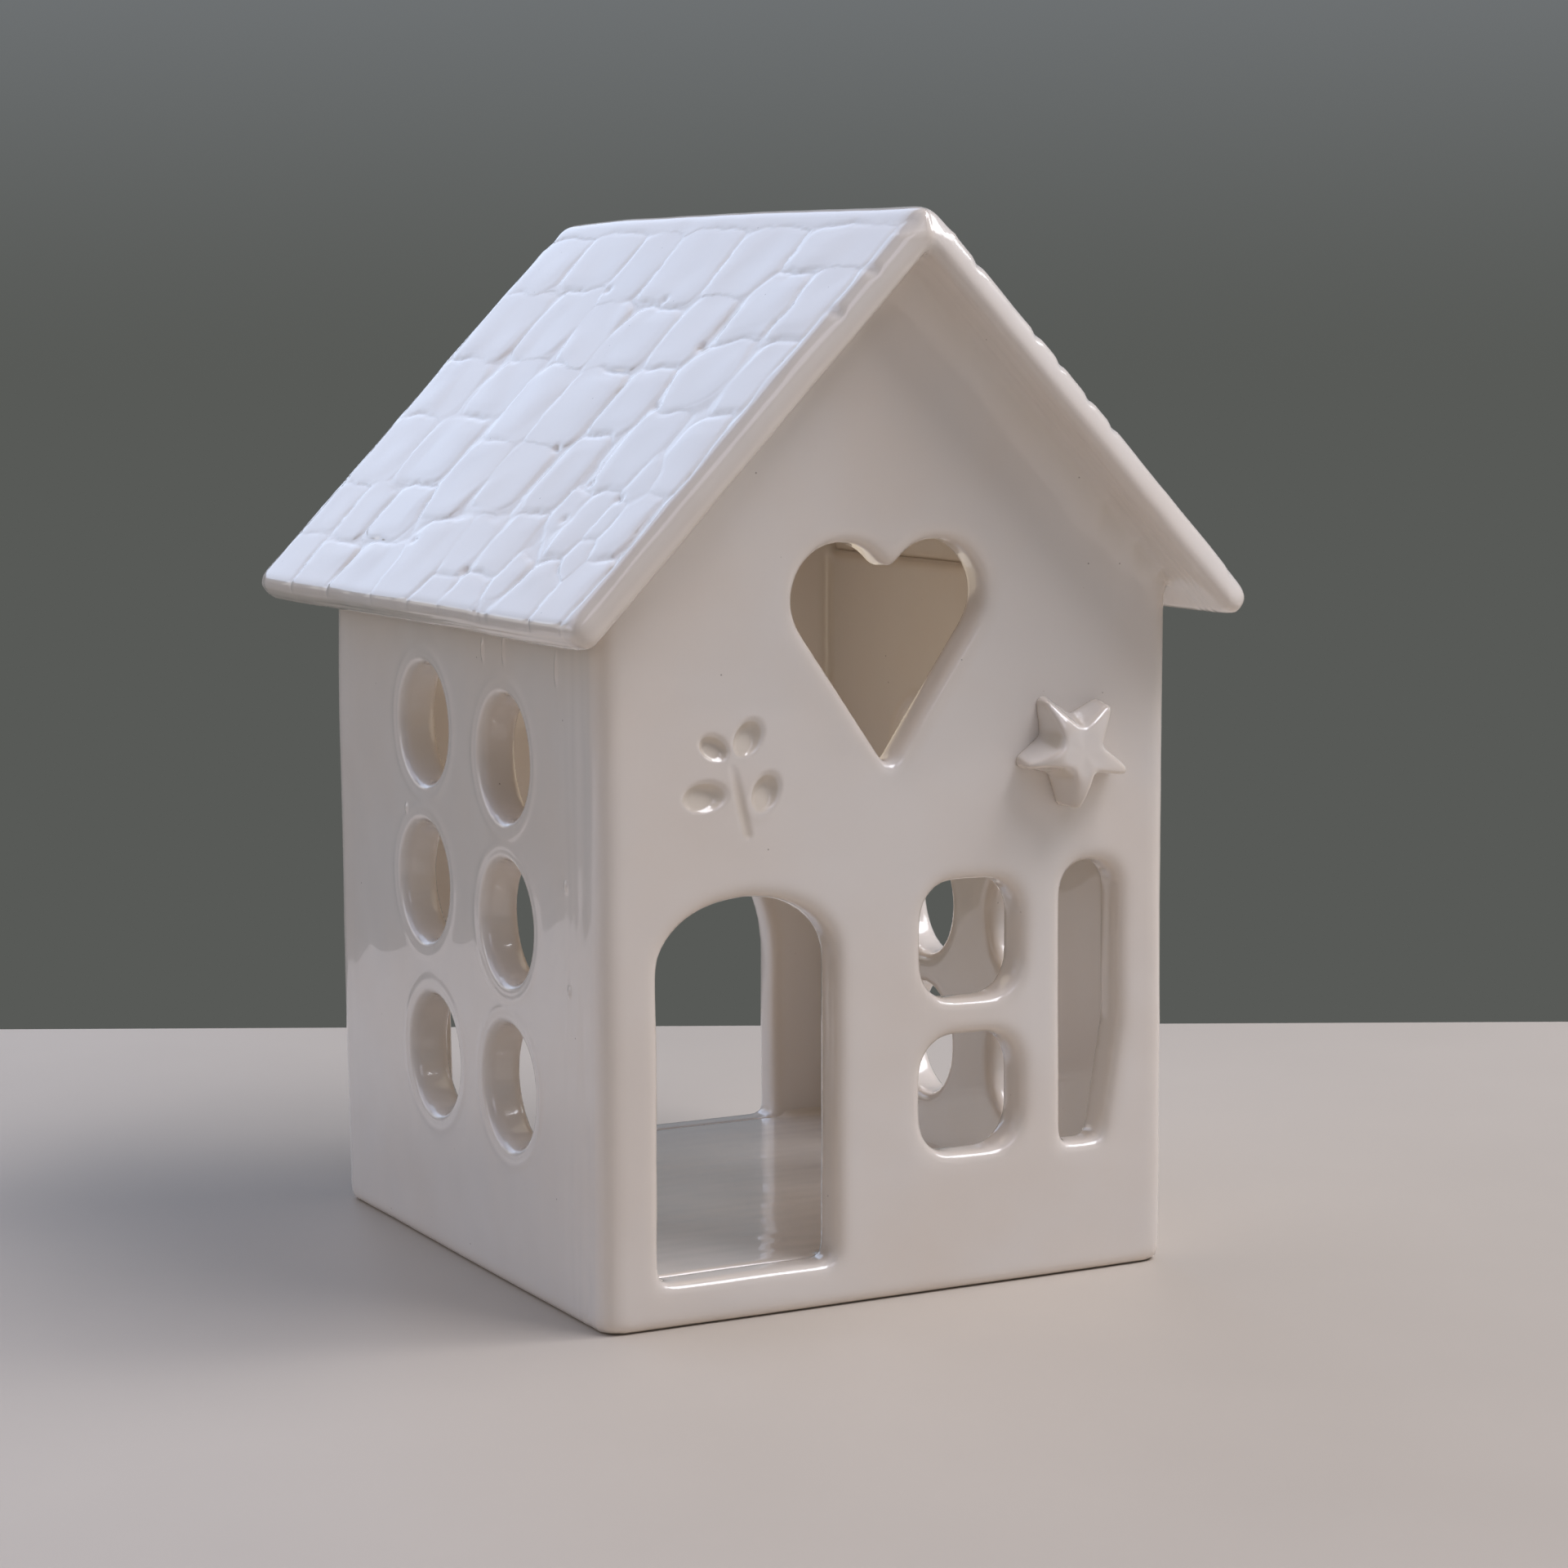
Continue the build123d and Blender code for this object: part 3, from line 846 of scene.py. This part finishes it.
class HOUSE_OT_shell(bpy.types.Operator):
    """Lute the walls and the roof slabs into one soft shell, and cut it just under the roof"""

    bl_idname = "house.shell"
    bl_label = "Luted shell"

    def execute(self, context):
        sizes = context.scene.house_clay
        clay = joined_clay(LUTED_NODES, sizes.slab_quads)
        round_edges(clay, sizes)
        refine(clay, fine_zones(clay))
        press_sprig(clay)
        mark_side_walls(clay, sizes)
        press_stones(clay, sizes)
        raise_ridge(clay)
        sway(clay, sizes)
        clay = glaze_clay(clay)
        for side, name in ((-1, "luted left slab"), (1, "luted right slab")):
            out = slab_axes(side).to_3x3() @ Vector((0, 0, 1))
            place = Vector((0, 0, GABLE_TOP)) - out * ROOF_CUT
            store(cut_off(clay, place, out), name)
            below = cut_off(clay, place, -out)
            clay.free()
            clay = below
        store(clay, "luted walls")
        return {"FINISHED"}


def store(clay, name):
    """Keep clay as a mesh until its pieces are made."""
    mesh = bpy.data.meshes.new(name)
    clay.to_mesh(mesh)
    clay.free()


def stored(name):
    """Take stored clay back."""
    mesh = bpy.data.meshes[name]
    clay = bmesh.new()
    clay.from_mesh(mesh)
    bpy.data.meshes.remove(mesh)
    return clay


class HOUSE_OT_walls(bpy.types.Operator):
    """Make the two gables and the two side walls"""

    bl_idname = "house.walls"
    bl_label = "Walls"

    def execute(self, context):
        walls = stored("luted walls")
        # Cut a little into the side walls, clear of the gables' inner faces
        seam = INNER_HALF_DEPTH - SEAM_INSET
        for node, end in (("front_gable", -1), ("back_gable", 1)):
            finish_piece(cut_off(walls, (0, end * seam, 0), (0, end, 0)), node)
        between = cut_off(walls, (0, -seam, 0), (0, 1, 0))
        sides = cut_off(between, (0, seam, 0), (0, -1, 0))
        for node, side in (("left_side_wall", -1), ("right_side_wall", 1)):
            finish_piece(cut_off(sides, (0, 0, 0), (side, 0, 0)), node)
        for clay in (walls, between, sides):
            clay.free()
        return {"FINISHED"}


def in_opening(place):
    """Whether a place on the floor is before the door or the candle's opening."""
    low, high = DOOR if place.y < 0 else CANDLE_OPENING
    return low.x - SILL_EDGE < place.x < high.x + SILL_EDGE


class HOUSE_OT_floor(bpy.types.Operator):
    """Make the chamber's floor and the coils under the eaves"""

    bl_idname = "house.floor"
    bl_label = "Floor and coils"

    def execute(self, context):
        sizes = context.scene.house_clay
        floor = joined_clay(("base_slab",), sizes.slab_quads)
        for v in floor.verts:
            # The floor rises in a cove where it was smoothed into the walls, but not at the door and the
            # candle's opening, where it is level with the sill
            gap = INNER_HALF_WIDTH - abs(v.co.x)
            if not in_opening(v.co):
                gap = min(gap, INNER_HALF_DEPTH - abs(v.co.y))
            reach = min(max(FLOOR_COVE - gap, 0), FLOOR_COVE)
            if v.co.z > FLOOR_MIDDLE:
                v.co.z += FLOOR_COVE - (FLOOR_COVE ** 2 - reach ** 2) ** 0.5
                v.co.z += FLOOR_GRAIN * noise.noise((v.co.x / (9 * MM), v.co.y / (2.2 * MM), 0))
            # Its edges run a little into the walls
            v.co.x *= 1 + FLOOR_LAP / INNER_HALF_WIDTH
            v.co.y *= 1 + FLOOR_LAP / INNER_HALF_DEPTH
        soften(floor, sizes.loose_rounding, off_foot)
        sway(floor, sizes)
        finish_piece(glaze_clay(floor), "base_slab")
        for node in ("left_eave_coil", "right_eave_coil"):
            coil = joined_clay((node,), sizes.slab_quads)
            soften(coil, sizes.loose_rounding)
            coil.normal_update()
            for v in coil.verts:
                # It is smeared a little over the joint it fills
                v.co += v.normal * COIL_SMEAR
            sway(coil, sizes)
            finish_piece(glaze_clay(coil), node)
        return {"FINISHED"}


def slab_axes(side):
    """Axes of a roof slab: along the ridge, down the slope and out of its top face."""
    node = ("left" if side < 0 else "right") + "_roof_slab"
    low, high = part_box(node)
    along = Vector((0, -side, 0))
    down = Vector((side * cos(PITCH), 0, -sin(PITCH)))
    out = along.cross(down)
    top = max(v.co.dot(out) for v in frame["nodes"][node].data.vertices)
    axes = Matrix((along, down, out)).transposed().to_4x4()
    axes.translation = Vector((0, low.y if side < 0 else high.y, top / out.z))
    return axes


def roof_top(clay, side):
    """Which vertices are on a roof slab, and how far along the ridge, down it and out of its top, in mm."""
    axes = slab_axes(side)
    places = places_of(clay)
    chosen = (places[:, 0] * side > 0) & (roof_clearance(places[:, 0], places[:, 2]) < SLAB_BELOW)
    along, down, out = ((places[chosen] - axes.translation) @ np.array(axes.to_3x3())).T / MM
    if side > 0:
        along = along.max() - along
    return chosen, along, down, out


def stone_fields(along, down):
    """Distance to the nearest joint, height of the stone there and depth of the gap between stones, in mm."""
    spots = [Vector((a, d, 0)) for a, d in zip(along.tolist(), down.tolist())]
    wander = np.array([
        (noise.noise_vector(p / WANDER_LENGTH) * WANDER + noise.noise_vector(p / FRAY_LENGTH) * FRAY)[:]
        for p in spots])
    u = along + wander[:, 0]
    v = down + wander[:, 1]
    inside = np.full(len(u), -9.0)
    second = np.full(len(u), -9.0)
    lift = np.zeros(len(u))
    for index, (middle_u, middle_v, size_u, size_v, turn) in enumerate(STONES):
        c, s = cos(radians(turn)), sin(radians(turn))
        x = ((u - middle_u) * c + (v - middle_v) * s) / (size_u / 2)
        y = ((v - middle_v) * c - (u - middle_u) * s) / (size_v / 2)
        size = min(size_u, size_v)
        power = STONE_POWER if size < BAND_SIZE else BAND_POWER
        depth = (1 - (np.abs(x) ** power + np.abs(y) ** power) ** (1 / power)) * size / 2
        nearer = depth > inside
        second = np.where(nearer, inside, np.maximum(second, depth))
        inside = np.where(nearer, depth, inside)
        # Each stone lies a little askew, most of them with the lower end proud
        tilt = noise.noise_vector((index * 1.7, 4.2, 0.6))
        lean = 0.04 * tilt.x + (0.02 + 0.05 * tilt.y) * x + (0.03 + 0.05 * tilt.z) * y
        lift = np.where(nearer, np.clip(lean, -MOST_LIFT, MOST_LIFT), lift)
    return np.minimum(inside + GAP, (inside - second) / 2), lift, smoothstep(GAP, 3 * GAP, -inside)


def stone_relief(along, down, nicks, sizes):
    """Height of the pressed stones over a roof slab, below 0 in the joints, in mm."""
    edge, lift, gap = stone_fields(along, down)
    # The stamp was pressed unevenly, so some joints are crisp and others hardly show
    strength = np.clip(0.6 + 1.5 * noise_over(along, down, 9, 9, 2.5), 0.06, 1.7)
    # It was pressed less near the eave and near the ridge, whose edge stays plain
    strength *= 1 - 0.7 * smoothstep(66, 71, down)
    strength *= 0.4 + 0.6 * smoothstep(5, 16, down)
    plain = smoothstep(2.0, 4.5, down)
    joint = 1 - smoothstep(0, sizes.joint_shoulder / MM, edge)
    crown = CROWN * strength * smoothstep(0, CROWN_SHOULDER, edge) * (1 - smoothstep(63, 69, down))
    relief = plain * (lift + crown - STONE_SINK) - sizes.joint_depth / MM * (joint * strength + 0.6 * gap)
    for pit_along, pit_down in PITS:
        spread = ((along - pit_along) / PIT_LENGTH) ** 2 + ((down - pit_down) / PIT_WIDTH) ** 2
        relief -= PIT_DEPTH * np.exp(-spread)
    for nick in nicks:
        relief -= NICK_DEPTH * np.exp(-((down - nick) / NICK_WIDTH) ** 2) * (1 - smoothstep(0.5, 4.0, along))
    return relief


def press_stones(clay, sizes):
    """Press the stones into the top of both roof slabs, and finish the eaves."""
    for side, nicks in NICKS.items():
        top, along, down, out = roof_top(clay, side)
        relief = stone_relief(along, down, nicks, sizes) * smoothstep(-1.7, -0.5, out)
        if side > 0:
            # The right slab butts under the lap of the left one
            relief *= smoothstep(5.5, 7.0, down)
        # The eaves are drawn in a little, so that the swayed slab stays inside the stated box
        drawn = -EAVE_DRAWN[side] * smoothstep(58, 72, down)
        # Smoothing left fine lines along the left eave's end and under the right verge
        if side < 0:
            end = down.max()
            at_end = smoothstep(end - 1.6, end - 0.8, down) * smoothstep(-0.4, -0.9, out)
            drawn += EAVE_LINES * noise_over(out, along, 0.5, 22, 3.5) * at_end
        else:
            under = smoothstep(SOFFIT, SOFFIT - 0.4, out) * (1 - smoothstep(7.5, 9.5, along))
            relief += VERGE_LINES * noise_over(along, down, 0.9, 26, 7.5) * under
        moves = np.stack((np.zeros(len(down)), drawn, relief), 1) @ np.array(slab_axes(side).to_3x3()).T * MM
        for v, move in zip([v for v, chosen in zip(clay.verts, top) if chosen], moves.tolist()):
            v.co += Vector(move)


def raise_ridge(clay):
    """Let the ridge rise in a slow hump towards the back, and draw the verges in a little."""
    places = places_of(clay)
    x, y, z = places.T
    lean = np.where(x > 0, RIGHT_LEAN, LEFT_LEAN) * smoothstep(0, LEAN_HEIGHT, -roof_clearance(x, z))
    drawn = y - np.sign(y) * (VERGE_DRAWN + lean) * smoothstep(-FRONT_FACE + VERGE_ROOT, VERGE, abs(y))
    heights = []
    for side in (-1, 1):
        axes = slab_axes(side)
        heights.append((places - axes.translation) @ np.array(axes.col[2][:3]))
    height = np.where(x > 0, np.minimum(*heights), heights[0])
    share = (drawn + VERGE) / (2 * VERGE)
    sag = FRONT_SAG * (1 - smoothstep(0.0, 0.68, share)) + BACK_SAG * smoothstep(0.76, 1.0, share)
    by_ridge = (1 - smoothstep(2 * MM, 16 * MM, abs(x))) * smoothstep(-3.6 * MM, -1.2 * MM, height)
    rise = (RIDGE_RISE - sag) * by_ridge
    for v, new_y, new_z in zip(clay.verts, drawn.tolist(), (z + rise).tolist()):
        v.co.y = new_y
        v.co.z = new_z


class HOUSE_OT_roof(bpy.types.Operator):
    """Make the two roof slabs with their pressed stones"""

    bl_idname = "house.roof"
    bl_label = "Roof"

    def execute(self, context):
        for side in ("left", "right"):
            finish_piece(stored(f"luted {side} slab"), f"{side}_roof_slab")
        return {"FINISHED"}


class HOUSE_OT_star(bpy.types.Operator):
    """Make the puffed star on the front"""

    bl_idname = "house.star"
    bl_label = "Star"

    def execute(self, context):
        sizes = context.scene.house_clay
        clay = joined_clay(("star_ornament",), sizes.star_quads)
        soften(clay, sizes.star_rounding, off_wall)
        x, y, z = places_of(clay).T
        across, up = x - STAR_X, z - STAR_Z
        reach = np.maximum(np.hypot(across, up), 0.01 * MM)
        proud = (STAR_BACK - y) / (STAR_BACK - STAR_FRONT)
        # Pinched between finger and thumb: it narrows towards its face, most of all between the points
        turn = np.arctan2(up, across) - STAR_TURN
        between_points = 0.5 - 0.5 * np.cos(STAR_POINTS * turn)
        narrow = smoothstep(0.1, 0.95, proud) * (0.02 + 0.22 * between_points)
        # The sides of each point close in on its middle line, those on the left most
        step = 2 * pi / STAR_POINTS
        apart = turn - np.round(turn / step) * step
        leftward = smoothstep(-0.3, 0.6, -(across + 0.1 * up) / reach)
        firm = (0.2 + 0.35 * leftward) * proud * smoothstep(2.5 * MM, 6.5 * MM, reach)
        pinch = firm * reach * np.sin(apart)
        pinch_x, pinch_z = pinch * up / reach, -pinch * across / reach
        # The points lie back, those on the left down to the wall, and the whole star has slumped a little
        back = smoothstep(3 * MM, 9 * MM, reach) * (0.8 + 1.6 * leftward) * MM
        for v, x_move, y_move, z_move in zip(
                clay.verts, pinch_x - across * narrow - 0.4 * MM * proud, proud * (back + 0.14 * up),
                pinch_z - up * narrow - (0.5 + 0.3 * proud) * MM):
            v.co += Vector((x_move, y_move, z_move))
        soften(clay, sizes.rounding, off_wall)
        sway(clay, sizes)
        finish_piece(glaze_clay(clay), "star_ornament")
        return {"FINISHED"}


def softbox(name, turn, rise, width, height, power, colour):
    """A softbox 1 m from the house, at a turn from +X and a rise in degrees, that the camera doesn't see."""
    turn, rise = radians(turn), radians(rise)
    toward = Vector((cos(rise) * cos(turn), cos(rise) * sin(turn), sin(rise)))
    data = bpy.data.lights.new(name, "AREA")
    data.shape = "RECTANGLE"
    data.size = width
    data.size_y = height
    data.energy = power
    data.color = hex_colour(colour)
    lamp = bpy.data.objects.new(name, data)
    lamp.location = LIGHT_AIM + toward
    lamp.rotation_euler = toward.to_track_quat("Z", "Y").to_euler()
    lamp.visible_camera = False
    bpy.context.scene.collection.objects.link(lamp)


class HOUSE_OT_stage(bpy.types.Operator):
    """Make the floor, the light and the camera"""

    bl_idname = "house.stage"
    bl_label = "Stage"

    def execute(self, context):
        stage = context.scene.house_stage
        scene = context.scene
        # A board that ends behind the house, square to the view
        ground = bmesh.new()
        bmesh.ops.create_cube(ground, size=1)
        bmesh.ops.scale(ground, vec=(BOARD_WIDTH, BOARD_DEPTH, BOARD_THICKNESS), verts=ground.verts)
        middle = (0, BOARD_BEHIND - BOARD_DEPTH / 2, -BOARD_THICKNESS / 2)
        bmesh.ops.translate(ground, vec=middle, verts=ground.verts)
        bmesh.ops.rotate(ground, matrix=Matrix.Rotation(CAMERA_TURN, 3, "Z"), verts=ground.verts)
        bmesh.ops.bevel(
            ground, geom=ground.edges[:], offset=BOARD_EDGE, affect="EDGES", segments=3, profile=0.5,
            material=-1)
        mesh = bpy.data.meshes.new("floor")
        ground.to_mesh(mesh)
        ground.free()
        floor = bpy.data.objects.new("floor", mesh)
        scene.collection.objects.link(floor)
        # Pale matt board: fine grain only, so that it stays plain
        board = bpy.data.materials.new("pale board")
        board.use_nodes = True
        tree = board.node_tree
        shader = tree.nodes["Principled BSDF"]
        shader.inputs["Roughness"].default_value = 0.55
        place = add_node(tree, "ShaderNodeTexCoord").outputs["Object"]
        grain = add_node(
            tree, "ShaderNodeTexNoise", {"Scale": 1 / (40 * MM), "Detail": 4.0}, {"Vector": place})
        tone = add_node(
            tree, "ShaderNodeMix",
            {"A": (*stage.floor, 1), "B": (*[0.93 * c for c in stage.floor], 1)},
            {"Factor": grain.outputs["Fac"]}, data_type="RGBA")
        tree.links.new(tone.outputs["Result"], shader.inputs["Base Color"])
        mesh.materials.append(board)

        world = bpy.data.worlds.new("soft room")
        scene.world = world
        world.use_nodes = True
        tree = world.node_tree
        tree.nodes.clear()
        upward = add_node(tree, "ShaderNodeTexCoord").outputs["Generated"]
        height = add_node(tree, "ShaderNodeSeparateXYZ", links={"Vector": upward}).outputs["Z"]
        haze_share = add_node(
            tree, "ShaderNodeMapRange", {"From Min": -0.02, "From Max": 0.18}, {"Value": height},
            interpolation_type="SMOOTHSTEP")
        low_sky = add_node(
            tree, "ShaderNodeMix", {"A": (*stage.backdrop, 1), "B": (*stage.haze, 1)},
            {"Factor": haze_share.outputs["Result"]}, data_type="RGBA")
        zenith_share = add_node(
            tree, "ShaderNodeMapRange", {"From Min": 0.25, "From Max": 0.55}, {"Value": height},
            interpolation_type="SMOOTHSTEP")
        sky = add_node(
            tree, "ShaderNodeMix", {"B": (*stage.zenith, 1)},
            {"Factor": zenith_share.outputs["Result"], "A": low_sky.outputs["Result"]}, data_type="RGBA")
        light = add_node(tree, "ShaderNodeBackground", links={"Color": sky.outputs["Result"]})
        add_node(tree, "ShaderNodeOutputWorld", links={"Surface": light.outputs["Background"]})

        for name, *place, power, colour in SOFTBOXES:
            softbox(name, *place, getattr(stage, power), colour)
        lamp = bpy.data.lights.new("chamber fill", "POINT")
        lamp.energy = stage.chamber_power
        lamp.color = hex_colour(CHAMBER_COLOUR)
        lamp.shadow_soft_size = 15 * MM
        fill = bpy.data.objects.new("chamber fill", lamp)
        fill.location = CHAMBER_MIDDLE
        scene.collection.objects.link(fill)

        turn, tilt, roll = CAMERA_TURN, CAMERA_TILT, CAMERA_ROLL
        back = Vector((sin(turn) * cos(tilt), -cos(turn) * cos(tilt), sin(tilt)))
        level = Vector((cos(turn), sin(turn), 0))
        upright = back.cross(level)
        right = level * cos(roll) + upright * sin(roll)
        up = upright * cos(roll) - level * sin(roll)
        data = bpy.data.cameras.new("camera")
        data.sensor_width = SENSOR_WIDTH
        data.lens = stage.lens
        data.dof.use_dof = False
        camera = bpy.data.objects.new("camera", data)
        turned = Matrix((right, up, back)).transposed().to_4x4()
        camera.matrix_world = Matrix.Translation(CAMERA_PLACE) @ turned
        scene.collection.objects.link(camera)
        scene.camera = camera
        scene.view_settings.view_transform = "Standard"
        return {"FINISHED"}


class HOUSE_PT_panel(bpy.types.Panel):
    """Lists the operators in the order they run"""

    bl_idname = "HOUSE_PT_panel"
    bl_label = "Tealight house"
    bl_space_type = "VIEW_3D"
    bl_region_type = "UI"
    bl_category = "House"

    def draw(self, context):
        for operator in OPERATORS:
            self.layout.operator(operator.bl_idname)


OPERATORS = (
    HOUSE_OT_glaze, HOUSE_OT_shell, HOUSE_OT_walls, HOUSE_OT_roof, HOUSE_OT_floor, HOUSE_OT_star,
    HOUSE_OT_stage)
GROUPS = {"house_clay": HouseClay, "house_glaze": HouseGlaze, "house_stage": HouseStage}
CLASSES = (*GROUPS.values(), *OPERATORS, HOUSE_PT_panel)


def register():
    """Register the classes, hang the settings on the scene and seed the noise that shapes the clay."""
    noise.seed_set(NOISE_SEED)
    for kind in CLASSES:
        bpy.utils.register_class(kind)
    for name, group in GROUPS.items():
        setattr(bpy.types.Scene, name, bpy.props.PointerProperty(type=group))


def unregister():
    """Take the settings and the classes away again."""
    for name in GROUPS:
        delattr(bpy.types.Scene, name)
    for kind in reversed(CLASSES):
        bpy.utils.unregister_class(kind)


def main():
    """Make the house and its stage."""
    register()
    bpy.ops.house.glaze()
    bpy.ops.house.shell()
    bpy.ops.house.walls()
    bpy.ops.house.roof()
    bpy.ops.house.floor()
    bpy.ops.house.star()
    bpy.ops.house.stage()


if __name__ == "__main__":
    main()
